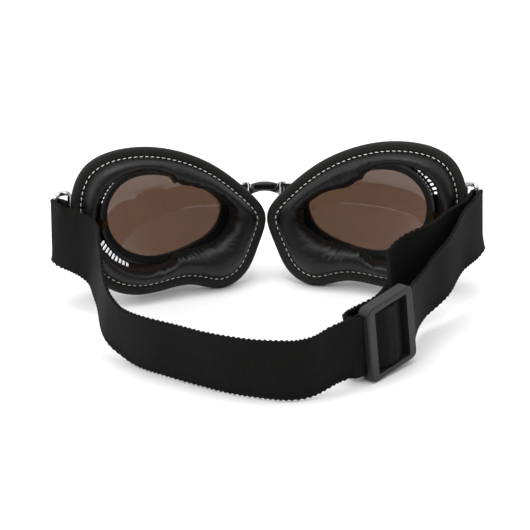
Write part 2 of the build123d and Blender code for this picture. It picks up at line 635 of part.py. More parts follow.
def make_strap_runs(layout):
    outer_y = strap_levels()[0]
    slider_x = SLIDER_LENGTH / 2 + 0.5
    fold_y = outer_y - 2 * (STRAP_THICKNESS + LAYER_GAP) - LAYER_GAP - 2 * FOLD_RADIUS
    into_slider = layout.slider_end(slider_x, outer_y, -1)
    out_of_slider = layout.slider_end(-slider_x, outer_y, 1)
    into_fold = layout.slider_end(FOLD_START - 2.5, fold_y, 1)
    left_start, left_way, left_width = layout.wrap_end(-1, 1)
    tail_start, _, tail_width = layout.wrap_end(-1, -1)
    tail_end = tail_start + left_way * TAIL_LENGTH
    tail = layout.run((tail_start, left_way, tail_width), [], (tail_end, left_way, tail_width))
    return {
        "strap_main_run": layout.run((left_start, left_way, left_width), MAIN_RUN, into_slider),
        "strap_left_tail": tail,
        "strap_outer_run": layout.run(layout.wrap_end(1, 1), OUTER_RUN, out_of_slider),
        "strap_inner_run": layout.run(layout.wrap_end(1, -1), INNER_RUN, into_fold),
    }


def build():
    cup = build_cup()
    rest = Pos(0, 0, rest_height(cup)) * PITCHED
    nodes = {}
    for name, shape in cup.items():
        placed = rest * WRAPPED * shape
        nodes["right_" + name] = placed
        nodes["left_" + name] = mirror(placed, Plane.YZ)
    for side in ("right", "left"):
        for name, shape in (("strap_loop", make_loop(side)), ("strap_wrap", make_wrap(side))):
            placed = rest * WRAPPED * shape
            nodes[side + "_" + name] = placed if side == "right" else mirror(placed, Plane.YZ)
    nodes["bridge"] = rest * make_bridge()
    nodes["bridge_insert"] = rest * make_insert()
    layout = StrapLayout(rest)
    nodes["slider"] = layout.slider * make_slider()
    nodes["strap_in_slider"] = layout.slider * make_strap_in_slider()
    nodes["strap_sewn_end"] = layout.slider * make_sewn_end()
    nodes.update(make_strap_runs(layout))
    return nodes


def centred(nodes):
    """Move everything so that the origin is under the middle of its bounding box."""
    box = Compound(children=[copy.copy(shape) for shape in nodes.values()]).bounding_box()
    shift = Pos(-box.center().X, -box.center().Y, -box.min.Z)
    return {name: shift * shape for name, shape in nodes.items()}, shift


NODES, SHIFT = centred(build())
os.makedirs("parts", exist_ok=True)
for name, shape in NODES.items():
    export_step(shape, "parts/" + name + ".step")
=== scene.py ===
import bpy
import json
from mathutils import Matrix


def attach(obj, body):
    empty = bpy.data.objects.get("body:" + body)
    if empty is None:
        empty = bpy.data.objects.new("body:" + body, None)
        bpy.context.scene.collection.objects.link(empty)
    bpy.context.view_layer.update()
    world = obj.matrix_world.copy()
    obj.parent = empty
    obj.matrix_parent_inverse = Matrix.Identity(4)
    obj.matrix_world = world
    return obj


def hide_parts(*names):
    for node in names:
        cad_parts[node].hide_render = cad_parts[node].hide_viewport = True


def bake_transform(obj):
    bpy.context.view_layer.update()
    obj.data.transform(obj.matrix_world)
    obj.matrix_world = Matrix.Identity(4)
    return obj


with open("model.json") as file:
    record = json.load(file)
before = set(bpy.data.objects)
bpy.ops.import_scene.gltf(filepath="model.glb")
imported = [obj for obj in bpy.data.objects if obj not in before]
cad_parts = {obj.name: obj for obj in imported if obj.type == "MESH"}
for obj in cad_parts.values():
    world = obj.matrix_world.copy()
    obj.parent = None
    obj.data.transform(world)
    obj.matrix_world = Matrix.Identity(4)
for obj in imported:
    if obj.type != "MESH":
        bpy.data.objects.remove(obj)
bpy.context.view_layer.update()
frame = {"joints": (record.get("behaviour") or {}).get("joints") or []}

import json
import math
import bmesh
import bpy
import numpy as np
from mathutils import Matrix, Vector, noise

# ---- how the goggles stand ----------------------------------------------------------------------
# The goggles stand on the front rims of their cups and on the edge of the strap behind. Each cup is
# drawn flat, in millimetres: u outwards from the nose, w forwards, v up. It turns back at the temple
# and the pair leans forwards, and the loop's pivot fixes where the flat drawing sits in the model.
MM = 0.001
CUP_WRAP = math.radians(17.0)
REST_PITCH = math.radians(13.0)
LOOP_PIVOT = Vector((96.0, 8.0, -0.5))

joints = {joint["name"]: joint for joint in frame["joints"]}
lean = Matrix.Rotation(-REST_PITCH, 4, "X")
turn = Matrix.Translation((0.5 * MM, 0, 0)) @ Matrix.Rotation(-CUP_WRAP, 4, "Z")
pivot = Vector(joints["right_loop_swing"]["pos_m"])
middle_x = (pivot.x + Vector(joints["left_loop_swing"]["pos_m"]).x) / 2
cup_pivot = lean @ turn @ (LOOP_PIVOT * MM)
nose = Vector((middle_x, pivot.y - cup_pivot.y, pivot.z - cup_pivot.z))


def cup_place(side):
    """The matrix from a cup's flat drawing to the model; side is 1 for right and -1 for left."""
    mirror = Matrix.Diagonal((side, 1, 1, 1))
    return Matrix.Translation(nose) @ mirror @ lean @ turn @ Matrix.Scale(MM, 4)


SIDES = {"right": 1, "left": -1}

# ---- camera, light and floor --------------------------------------------------------------------
# A long lens looks down on the goggles from behind. They stand on a white table in a white room that
# is dark only behind the camera, lit by one wide soft light overhead and a weaker one from the left.
azimuth, elevation = math.radians(3.5), math.radians(24.0)
across = Vector((math.cos(azimuth), -math.sin(azimuth), 0))
ahead = Vector((math.sin(azimuth) * math.cos(elevation),
                math.cos(azimuth) * math.cos(elevation), -math.sin(elevation)))
above = across.cross(ahead)
aim = nose - across * 0.0006 - above * 0.0245
camera = bpy.data.objects.new("camera", bpy.data.cameras.new("camera"))
camera.data.lens = 210.9
camera.data.sensor_width = 36.0
camera.data.clip_end = 20.0
camera.location = aim - ahead * 1.5
camera.rotation_euler = ahead.to_track_quat("-Z", "Y").to_euler()
bpy.context.scene.collection.objects.link(camera)
bpy.context.scene.camera = camera


def linear(hex_colour):
    """Linear RGBA from an sRGB hex string."""
    parts = [int(hex_colour[i:i + 2], 16) / 255 for i in (0, 2, 4)]
    return tuple(c / 12.92 if c < 0.04045 else ((c + 0.055) / 1.055) ** 2.4 for c in parts) + (1.0,)


def node(material, kind, settings=None, links=None):
    """Add a node with its socket values, and its links as (input, from node, output)."""
    made = material.node_tree.nodes.new(kind)
    for name, value in (settings or {}).items():
        if hasattr(made, name):
            setattr(made, name, value)
        else:
            made.inputs[name].default_value = value
    for name, source, output in links or []:
        material.node_tree.links.new(source.outputs[output], made.inputs[name])
    return made


def new_material(name):
    material = bpy.data.materials.new(name)
    material.use_nodes = True
    material.node_tree.nodes.clear()
    return material


def surface(material, settings, links=None):
    """The material's Principled shader and its output."""
    shader = node(material, "ShaderNodeBsdfPrincipled", settings, links)
    node(material, "ShaderNodeOutputMaterial", None, [("Surface", shader, "BSDF")])
    return shader


# painted board, matt white, a little uneven
table_paint = new_material("matt_white_board")
where = node(table_paint, "ShaderNodeTexCoord")
mottle = node(table_paint, "ShaderNodeTexNoise", {"Scale": 3.0, "Detail": 2.0}, [("Vector", where, "Object")])
shade = node(table_paint, "ShaderNodeMapRange", {"To Min": 0.55, "To Max": 0.65}, [("Value", mottle, "Fac")])
surface(table_paint, {"Base Color": linear("FAFAFA")}, [("Roughness", shade, "Result")])

floor_mesh = bmesh.new()
bmesh.ops.create_grid(floor_mesh, x_segments=1, y_segments=1, size=6.0)
floor_data = bpy.data.meshes.new("floor")
floor_mesh.to_mesh(floor_data)
floor_mesh.free()
floor = bpy.data.objects.new("floor", floor_data)
bpy.context.scene.collection.objects.link(floor)
floor_data.materials.append(table_paint)

world = bpy.data.worlds.new("white_room")
bpy.context.scene.world = world
world.use_nodes = True
look_from = node(world, "ShaderNodeTexCoord")
split = node(world, "ShaderNodeSeparateXYZ", None, [("Vector", look_from, "Object")])
behind = node(world, "ShaderNodeMapRange", {"From Min": -0.25, "From Max": -0.7}, [("Value", split, "Y")])
low = node(world, "ShaderNodeMapRange", {"From Min": 0.75, "From Max": 0.4}, [("Value", split, "Z")])
shaded = node(world, "ShaderNodeMath", {"operation": "MULTIPLY"}, None)
world.node_tree.links.new(behind.outputs["Result"], shaded.inputs[0])
world.node_tree.links.new(low.outputs["Result"], shaded.inputs[1])
power = node(world, "ShaderNodeMapRange", {"To Min": 1.15, "To Max": 0.10}, [("Value", shaded, "Value")])
world.node_tree.links.new(power.outputs["Result"], world.node_tree.nodes["Background"].inputs["Strength"])
world.node_tree.nodes["Background"].inputs["Color"].default_value = (1.0, 1.0, 1.0, 1.0)
bpy.context.scene.view_settings.view_transform = "Standard"


def area_light(name, place, size, power):
    lamp = bpy.data.lights.new(name, "AREA")
    lamp.shape = "DISK"
    lamp.size = size
    lamp.energy = power
    holder = bpy.data.objects.new(name, lamp)
    holder.location = nose + Vector(place)
    holder.rotation_euler = (-Vector(place)).to_track_quat("-Z", "Y").to_euler()
    bpy.context.scene.collection.objects.link(holder)


area_light("overhead_softbox", (-0.15, -0.1, 1.3), 0.9, 9.0)
area_light("front_left_fill", (-1.2, -0.6, 0.8), 0.6, 4.0)


def finish_cad(nodes, material):
    """Give carried-over nodes their finish."""
    for name in nodes:
        data = bpy.data.objects[name].data
        data.materials.clear()
        data.materials.append(material)


def both(*names):
    return [side + "_" + name for side in SIDES for name in names]


# ---- chrome cups, brackets and loops ------------------------------------------------------------
# Cups are pressed from brass sheet and plated with bright chromium, and the loops are bent from
# plated wire. The plate mirrors the white room, with faint polishing haze that breaks its edges.
chrome_plate = new_material("bright_chrome_plate")
where = node(chrome_plate, "ShaderNodeTexCoord")
haze = node(chrome_plate, "ShaderNodeTexNoise", {"Scale": 420.0, "Detail": 4.0},
            [("Vector", where, "Object")])
rough = node(chrome_plate, "ShaderNodeMapRange", {"To Min": 0.05, "To Max": 0.16}, [("Value", haze, "Fac")])
surface(chrome_plate, {"Base Color": linear("C9CACC"), "Metallic": 1.0}, [("Roughness", rough, "Result")])
finish_cad(both("frame", "hinge_pin", "loop_bracket", "strap_loop") + ["bridge"], chrome_plate)

# turned brass, dulled by handling
turned_brass = new_material("dull_turned_brass")
where = node(turned_brass, "ShaderNodeTexCoord")
tarnish = node(turned_brass, "ShaderNodeTexNoise", {"Scale": 600.0, "Detail": 3.0},
               [("Vector", where, "Object")])
tint = node(turned_brass, "ShaderNodeMix", {"data_type": "RGBA"}, [("Factor", tarnish, "Fac")])
tint.inputs["A"].default_value = linear("4F4429")
tint.inputs["B"].default_value = linear("7D6D48")
surface(turned_brass, {"Metallic": 1.0, "Roughness": 0.38}, [("Base Color", tint, "Result")])
finish_cad(both("bracket_rivet"), turned_brass)

# ---- cups' black insides ------------------------------------------------------------------------
# The cups' insides are sprayed black so that they don't dazzle the wearer. The paint covers what
# faces the middle of each cup; everything that faces away from it is bare plate.
LENS_MIDDLE = Vector((46.6, 4.0, 0.3))

for side, sign in SIDES.items():
    plated = new_material("chrome_plate_sprayed_black_inside_" + side)
    where = node(plated, "ShaderNodeTexCoord")
    middle = cup_place(sign) @ LENS_MIDDLE
    outwards = node(plated, "ShaderNodeVectorMath", {"operation": "SUBTRACT"},
                    [("Vector", where, "Object")])
    outwards.inputs[1].default_value = middle
    straight = node(plated, "ShaderNodeVectorMath", {"operation": "NORMALIZE"},
                    [("Vector", outwards, "Vector")])
    facing = node(plated, "ShaderNodeVectorMath", {"operation": "DOT_PRODUCT"},
                  [("Vector", straight, "Vector")])
    plated.node_tree.links.new(where.outputs["Normal"], facing.inputs[1])
    painted = node(plated, "ShaderNodeMapRange", {"From Min": -0.02, "From Max": -0.08},
                   [("Value", facing, "Value")])
    haze = node(plated, "ShaderNodeTexNoise", {"Scale": 420.0, "Detail": 4.0}, [("Vector", where, "Object")])
    gloss = node(plated, "ShaderNodeMapRange", {"To Min": 0.05, "To Max": 0.16}, [("Value", haze, "Fac")])
    coat = node(plated, "ShaderNodeMix", {"data_type": "RGBA"}, [("Factor", painted, "Result")])
    coat.inputs["A"].default_value = linear("C9CACC")
    coat.inputs["B"].default_value = linear("121110")
    metal = node(plated, "ShaderNodeMath", {"operation": "SUBTRACT"})
    metal.inputs[0].default_value = 1.0
    plated.node_tree.links.new(painted.outputs["Result"], metal.inputs[1])
    dull = node(plated, "ShaderNodeMath", {"operation": "MAXIMUM"}, None)
    plated.node_tree.links.new(gloss.outputs["Result"], dull.inputs[0])
    half = node(plated, "ShaderNodeMath", {"operation": "MULTIPLY"}, None)
    plated.node_tree.links.new(painted.outputs["Result"], half.inputs[0])
    half.inputs[1].default_value = 0.45
    plated.node_tree.links.new(half.outputs["Value"], dull.inputs[1])
    surface(plated, {}, [("Base Color", coat, "Result"), ("Metallic", metal, "Value"),
                         ("Roughness", dull, "Value")])
    finish_cad([side + "_frame"], plated)

# ---- lenses and their rings ---------------------------------------------------------------------
# Moulded polycarbonate tinted brown through and through, polished on both faces. A black moulded
# ring holds each lens against the cup's lip.
tinted_glass = new_material("brown_tinted_polycarbonate")
where = node(tinted_glass, "ShaderNodeTexCoord")
drift = node(tinted_glass, "ShaderNodeTexNoise", {"Scale": 22.0, "Detail": 1.0},
             [("Vector", where, "Object")])
dye = node(tinted_glass, "ShaderNodeMix", {"data_type": "RGBA"}, [("Factor", drift, "Fac")])
dye.inputs["A"].default_value = linear("83635A")
dye.inputs["B"].default_value = linear("86694F")
surface(tinted_glass, {"Roughness": 0.03, "IOR": 1.58, "Transmission Weight": 0.55},
        [("Base Color", dye, "Result")])
finish_cad(both("lens"), tinted_glass)

satin_black = new_material("satin_black_moulding")
where = node(satin_black, "ShaderNodeTexCoord")
spark = node(satin_black, "ShaderNodeTexNoise", {"Scale": 1800.0, "Detail": 2.0},
             [("Vector", where, "Object")])
rough = node(satin_black, "ShaderNodeMapRange", {"To Min": 0.32, "To Max": 0.46}, [("Value", spark, "Fac")])
surface(satin_black, {"Base Color": linear("0A0A09"), "Specular IOR Level": 0.2},
        [("Roughness", rough, "Result")])
finish_cad(both("lens_retainer", "pad_backing") + ["bridge_insert"], satin_black)

# ---- face pads ----------------------------------------------------------------------------------
# Each pad is soft foam under thin black leather. The leather is sewn down round the edge, swells over
# the foam and is gathered where it turns in behind the lens, so its inner edge puckers.
PAD_EDGE = [
    (0.0, 0.0), (3.4, -13.9), (11.3, -28.5), (23.0, -34.2), (37.7, -31.5), (54.9, -33.4), (70.6, -33.5),
    (85.8, -25.3), (94.6, -8.5), (97.8, 10.7), (90.7, 29.2), (69.6, 37.0), (47.0, 34.8), (25.5, 25.6),
    (8.3, 11.7),
]
LENS_EDGE = [
    (17.2, 0.7), (21.3, -8.3), (34.5, -16.1), (50.7, -19.4), (65.7, -14.9), (74.6, -3.7), (75.0, 7.3),
    (66.6, 17.9), (52.5, 20.6), (36.6, 16.8), (22.8, 9.7),
]
PAD_LOOK = {"right": {"overhang": 3.0, "overhang_at": 125, "seed": 3.0},
            "left": {"overhang": 1.2, "overhang_at": 60, "seed": 11.0}}


def smooth_loop(points, count=720):
    """Points on the closed cubic spline through the given ones, by distance between them."""
    p = np.array(points, float)
    n = len(p)
    step = np.linalg.norm(np.roll(p, -1, 0) - p, axis=1)
    system = np.zeros((n, n))
    right = np.zeros((n, 2))
    for i in range(n):
        before, after = step[i - 1], step[i]
        system[i, i - 1] += after
        system[i, i] += 2 * (before + after)
        system[i, (i + 1) % n] += before
        ahead, behind = p[(i + 1) % n] - p[i], p[i] - p[i - 1]
        right[i] = 3 * (after * behind / before + before * ahead / after)
    slope = np.linalg.solve(system, right)
    out = []
    for i in range(n):
        j = (i + 1) % n
        for t in np.linspace(0, 1, count // n, endpoint=False):
            out.append((2 * t**3 - 3 * t**2 + 1) * p[i] + (t**3 - 2 * t**2 + t) * step[i] * slope[i]
                       + (3 * t**2 - 2 * t**3) * p[j] + (t**3 - t**2) * step[i] * slope[j])
    return np.array(out)


def reach(points, grow):
    """Angles and radii round the lens's middle of the closed outline, moved outwards by grow."""
    loop = smooth_loop(points)
    along = np.roll(loop, -1, 0) - np.roll(loop, 1, 0)
    along /= np.linalg.norm(along, axis=1)[:, None]
    moved = loop + grow * np.stack([along[:, 1], -along[:, 0]], 1) - [LENS_MIDDLE.x, LENS_MIDDLE.z]
    angle = np.arctan2(moved[:, 1], moved[:, 0])
    order = np.argsort(angle)
    return angle[order], np.hypot(moved[:, 0], moved[:, 1])[order]


def radius(outline, angle):
    return np.interp(angle, outline[0], outline[1], period=2 * math.pi)


def ring_piece(name, sign, rings, count):
    """A closed ring: the first loop of vertices is extruded ring by ring, then joined to itself.

    rings holds one function per ring, from the angle to (radius, w)."""
    place = cup_place(sign)
    mesh = bmesh.new()
    loop = bmesh.ops.create_circle(mesh, segments=count, radius=1.0)["verts"]
    first = list(mesh.edges)
    edges = first
    for number, ring in enumerate(rings):
        if number:
            new = bmesh.ops.extrude_edge_only(mesh, edges=edges)["geom"]
            fresh = {item for item in new if isinstance(item, bmesh.types.BMVert)}
            edges = [item for item in new if isinstance(item, bmesh.types.BMEdge)
                     and item.verts[0] in fresh and item.verts[1] in fresh]
            loop = [next(e.other_vert(v) for e in v.link_edges if e.other_vert(v) in fresh) for v in loop]
        for index, vert in enumerate(loop):
            angle = 2 * math.pi * index / count - math.pi
            r, w = ring(angle)
            u, v = LENS_MIDDLE.x + r * math.cos(angle), LENS_MIDDLE.z + r * math.sin(angle)
            vert.co = place @ Vector((u, w, v))
    bmesh.ops.bridge_loops(mesh, edges=first + edges)
    bmesh.ops.recalc_face_normals(mesh, faces=mesh.faces)
    data = bpy.data.meshes.new(name)
    mesh.to_mesh(data)
    mesh.free()
    data.polygons.foreach_set("use_smooth", [True] * len(data.polygons))
    made = bpy.data.objects.new(name, data)
    bpy.context.scene.collection.objects.link(made)
    return made


def wave(angle, pitch, seed):
    """Uneven waves round the pad, about pitch of them in a full turn, between -1 and 1."""
    spot = Vector((math.cos(angle), math.sin(angle), 0)) * pitch / 6.0 + Vector((seed, 0, 0))
    return 2 * noise.noise(spot)


# chrome-tanned hide, thin and soft, finished black with a low sheen and a fine pebble grain
pad_leather = new_material("black_chrome_tanned_leather")
where = node(pad_leather, "ShaderNodeTexCoord")
pebble = node(pad_leather, "ShaderNodeTexVoronoi", {"Scale": 1100.0}, [("Vector", where, "Object")])
crease = node(pad_leather, "ShaderNodeTexNoise", {"Scale": 240.0, "Detail": 5.0, "Distortion": 1.2},
              [("Vector", where, "Object")])
height = node(pad_leather, "ShaderNodeMath", {"operation": "MULTIPLY_ADD"}, None)
pad_leather.node_tree.links.new(crease.outputs["Fac"], height.inputs[0])
height.inputs[1].default_value = 1.6
pad_leather.node_tree.links.new(pebble.outputs["Distance"], height.inputs[2])
grain = node(pad_leather, "ShaderNodeBump", {"Strength": 0.35, "Distance": 0.0003},
             [("Height", height, "Value")])
sheen = node(pad_leather, "ShaderNodeMapRange", {"To Min": 0.36, "To Max": 0.55}, [("Value", crease, "Fac")])
worn = node(pad_leather, "ShaderNodeMix", {"data_type": "RGBA"}, [("Factor", crease, "Fac")])
worn.inputs["A"].default_value = linear("060606")
worn.inputs["B"].default_value = linear("0C0B0B")
surface(pad_leather, {"Specular IOR Level": 0.32},
        [("Base Color", worn, "Result"), ("Roughness", sheen, "Result"), ("Normal", grain, "Normal")])

# the cushion's section: share of the way from the outer seam to the inner edge, and depth
CUSHION_SECTION = [
    (0.0, -0.9), (0.02, -2.2), (0.07, -4.0), (0.16, -5.9), (0.30, -7.3), (0.46, -8.0), (0.62, -7.9),
    (0.77, -6.9), (0.88, -5.0), (0.95, -2.7), (0.985, -0.6), (1.0, 0.9), (0.9, 1.1), (0.1, 1.1),
]
seam_line = reach(PAD_EDGE, -4.9)
opening = reach(LENS_EDGE, -0.4)


def cushion_ring(share, depth, look):
    """One ring of the cushion, with the gathers and the overhang of this side's pad."""
    def ring(angle):
        outer, inner = radius(seam_line, angle), radius(opening, angle)
        inner += 11.4 * max(0.0, math.cos(angle)) ** 0.7 - 3.6 * max(0.0, -math.sin(angle)) ** 1.5
        off = math.degrees(angle) - look["overhang_at"]
        lip = look["overhang"] * math.exp(-(off / 38.0) ** 2) * share**3
        gather = max(0.0, share - 0.35) / 0.65
        pucker = 0.55 * wave(angle, 90, look["seed"]) + 0.45 * wave(angle, 34, look["seed"] + 5)
        r = outer + (inner - outer) * share - lip + 0.9 * gather * pucker
        swell = 0.5 * wave(angle, 14, look["seed"] + 9) * math.sin(math.pi * share)
        w = depth + (swell - 0.8 * gather * (1 - gather) * 2 * pucker) * (depth < -1.5)
        return r, max(w, -9.6)
    return ring


def between(section, count):
    """The section's points with smooth ones between them."""
    s = np.array(section)
    marks = np.concatenate([[0], np.cumsum(np.linalg.norm(np.diff(s * [14, 1], axis=0), axis=1))])
    at = np.linspace(0, marks[-1], count)
    return list(zip(np.interp(at, marks, s[:, 0]), np.interp(at, marks, s[:, 1])))


for side, sign in SIDES.items():
    look = PAD_LOOK[side]
    rings = [cushion_ring(share, depth, look) for share, depth in between(CUSHION_SECTION, 40)]
    cushion = ring_piece(side + "_leather_pad", sign, rings, 360)
    cushion.data.materials.append(pad_leather)
    smoothing = cushion.modifiers.new("soften", "SMOOTH")
    smoothing.factor, smoothing.iterations = 0.5, 2
    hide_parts(side + "_face_pad")
    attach(cushion, side + "_cup")

# ---- edge bands and their stitching -------------------------------------------------------------
# A strip of coarser leather runs round each pad's edge and is turned over its backing. One line of
# white thread, about 3 mm to the stitch, holds the strip, the pad's cover and the backing together.
band_leather = new_material("dark_grained_split_leather")
where = node(band_leather, "ShaderNodeTexCoord")
grit = node(band_leather, "ShaderNodeTexNoise", {"Scale": 900.0, "Detail": 6.0},
            [("Vector", where, "Object")])
shade = node(band_leather, "ShaderNodeMix", {"data_type": "RGBA"}, [("Factor", grit, "Fac")])
shade.inputs["A"].default_value = linear("0E0E0D")
shade.inputs["B"].default_value = linear("1F1E1C")
relief = node(band_leather, "ShaderNodeBump", {"Strength": 0.5, "Distance": 0.0003},
              [("Height", grit, "Fac")])
surface(band_leather, {"Roughness": 0.66, "Specular IOR Level": 0.3},
        [("Base Color", shade, "Result"), ("Normal", relief, "Normal")])

# the band's section: distance past the pad's edge, and depth
BAND_SECTION = [
    (-4.9, -0.8), (-4.3, -1.25), (-3.2, -1.35), (-1.8, -1.35), (-0.7, -1.15), (-0.1, -0.6), (0.1, 0.1),
    (0.0, 0.8), (-0.5, 1.15), (-2.5, 1.18), (-4.8, 1.18),
]

for side, sign in SIDES.items():
    rings = []
    for grow, depth in BAND_SECTION:
        edge = reach(PAD_EDGE, grow)
        rings.append(lambda angle, edge=edge, depth=depth: (float(radius(edge, angle)), depth))
    band = ring_piece(side + "_edge_band", sign, rings, 300)
    band.data.materials.append(band_leather)
    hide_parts(side + "_pad_edge_band")
    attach(band, side + "_cup")

# bonded polyester thread, waxed white
white_thread = new_material("waxed_white_polyester_thread")
where = node(white_thread, "ShaderNodeTexCoord")
twist = node(white_thread, "ShaderNodeTexNoise", {"Scale": 2500.0, "Detail": 1.0},
             [("Vector", where, "Object")])
relief = node(white_thread, "ShaderNodeBump", {"Strength": 0.4, "Distance": 0.0001},
              [("Height", twist, "Fac")])
surface(white_thread, {"Base Color": linear("F4F2EC"), "Roughness": 0.6}, [("Normal", relief, "Normal")])

STITCH_PITCH, STITCH_LENGTH, STITCH_SLANT, THREAD = 2.8, 2.0, 0.10, 0.44
stitch_line = reach(PAD_EDGE, -4.6)

for side, sign in SIDES.items():
    place = cup_place(sign)
    turns = np.linspace(-math.pi, math.pi, 1441)
    distance = radius(stitch_line, turns)
    line = np.stack([distance * np.cos(turns), distance * np.sin(turns)], 1)
    gone = np.concatenate([[0], np.cumsum(np.linalg.norm(np.diff(line, axis=0), axis=1))])
    count = round(gone[-1] / STITCH_PITCH)
    mesh = bmesh.new()
    for number in range(count):
        at = (number + 0.5) * gone[-1] / count
        (x_before, x, x_after), (y_before, y, y_after) = (
            np.interp([at - 1, at, at + 1], gone, line[:, k]) for k in (0, 1))
        heading = math.atan2(y_after - y_before, x_after - x_before)
        way = Matrix.Rotation(STITCH_SLANT - heading, 4, "Y")
        spot = Matrix.Translation((LENS_MIDDLE.x + x, -1.28, LENS_MIDDLE.z + y))
        shape = Matrix.Diagonal((STITCH_LENGTH / 2, THREAD * 0.42, THREAD / 2, 1))
        bmesh.ops.create_uvsphere(mesh, u_segments=8, v_segments=6, radius=1.0,
                                  matrix=place @ spot @ way @ shape)
    bmesh.ops.recalc_face_normals(mesh, faces=mesh.faces)
    data = bpy.data.meshes.new(side + "_stitching")
    mesh.to_mesh(data)
    mesh.free()
    data.polygons.foreach_set("use_smooth", [True] * len(data.polygons))
    stitching = bpy.data.objects.new(side + "_stitching", data)
    bpy.context.scene.collection.objects.link(stitching)
    data.materials.append(white_thread)
    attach(stitching, side + "_cup")

# ---- head strap ---------------------------------------------------------------------------------
# One length of black elastic webbing, 30 mm wide, woven with a raised rib along each edge. It is sewn
# round the left loop, stands on its edge behind the cups, passes through the slider and round the
# right loop, and comes back to the slider's centre bar. Distances are in millimetres.
STRAP_HALF, STRAP_THICKNESS, EDGE_LIFT, STRAP_DEPTH = 15.0, 1.5, 0.45, 112.7
LOOP_REACH, LOOP_ANGLES, WRAP_FACING, WRAP_RADIUS = 8.0, {1: 40.0, -1: 24.0}, math.radians(82.0), 2.1
RIB_PITCH, RIB_HEIGHT = 2.4, 0.36

# elastic yarn under black polyester: fine cross ribs broken by the weave, matt and a little fuzzy
black_webbing = new_material("black_woven_elastic_webbing")
along = node(black_webbing, "ShaderNodeAttribute", {"attribute_name": "along"})
over = node(black_webbing, "ShaderNodeAttribute", {"attribute_name": "over"})
flat = node(black_webbing, "ShaderNodeCombineXYZ", None, [("X", along, "Fac"), ("Y", over, "Fac")])
rows = node(black_webbing, "ShaderNodeTexWave",
            {"Scale": 0.30, "Distortion": 1.2, "Detail": 2.0, "Detail Scale": 2.0},
            [("Vector", flat, "Vector")])
yarns = node(black_webbing, "ShaderNodeTexNoise", {"Scale": 1.6, "Detail": 4.0}, [("Vector", flat, "Vector")])
weave = node(black_webbing, "ShaderNodeMath", {"operation": "ADD"}, None)
black_webbing.node_tree.links.new(rows.outputs["Fac"], weave.inputs[0])
black_webbing.node_tree.links.new(yarns.outputs["Fac"], weave.inputs[1])
relief = node(black_webbing, "ShaderNodeBump", {"Strength": 0.45, "Distance": 0.0003},
              [("Height", weave, "Value")])
shade = node(black_webbing, "ShaderNodeMix", {"data_type": "RGBA"}, [("Factor", yarns, "Fac")])
shade.inputs["A"].default_value = linear("050504")
shade.inputs["B"].default_value = linear("100F0E")
surface(black_webbing, {"Roughness": 0.82, "Specular IOR Level": 0.15},
        [("Base Color", shade, "Result"), ("Normal", relief, "Normal")])

# the strap's section, half way round: share of the half width, and of half the thickness
WEB_SIDE = [
    (-1.0, 0.0), (-0.995, 0.7), (-0.97, 1.0), (-0.93, 1.05), (-0.89, 0.82), (-0.6, 0.84), (-0.3, 0.85),
    (0.0, 0.85), (0.3, 0.85), (0.6, 0.84), (0.89, 0.82), (0.93, 1.05), (0.97, 1.0), (0.995, 0.7), (1.0, 0.0),
]
WEB_SECTION = WEB_SIDE + [(a, -t) for a, t in WEB_SIDE[-2:0:-1]]


def smooth_path(points, way_in, way_out):
    """Points half a millimetre apart on the cubic spline through the given ones, with its marks."""
    p = np.array(points, float)
    step = np.linalg.norm(np.diff(p, axis=0), axis=1)
    n = len(p)
    system = np.eye(n)
    right = np.zeros((n, 3))
    right[0], right[-1] = way_in, way_out
    for i in range(1, n - 1):
        before, after = step[i - 1], step[i]
        system[i, i - 1:i + 2] = after, 2 * (before + after), before
        right[i] = 3 * (after * (p[i] - p[i - 1]) / before + before * (p[i + 1] - p[i]) / after)
    slope = np.linalg.solve(system, right)
    line, marks = [], []
    for i in range(n - 1):
        parts = max(2, round(step[i] / (0.5 * MM)))
        for t in np.linspace(0, 1, parts, endpoint=i == n - 2):
            line.append((2 * t**3 - 3 * t**2 + 1) * p[i] + (t**3 - 2 * t**2 + t) * step[i] * slope[i]
                        + (3 * t**2 - 2 * t**3) * p[i + 1] + (t**3 - t**2) * step[i] * slope[i + 1])
            marks.append(i + t)
    return np.array(line), marks


def rounded(points, bend):
    """Points along flat lines whose corners are rounded over at most bend."""
    p = [Vector(point) for point in points]
    line = [p[0]]
    for before, corner, after in zip(p, p[1:], p[2:]):
        reach_in, reach_out = before - corner, after - corner
        cut = min(bend, 0.49 * reach_in.length, 0.49 * reach_out.length)
        one, two = corner + reach_in.normalized() * cut, corner + reach_out.normalized() * cut
        line += [one.lerp(corner, t).lerp(corner.lerp(two, t), t) for t in np.linspace(0, 1, 9)]
    return line + [p[-1]]


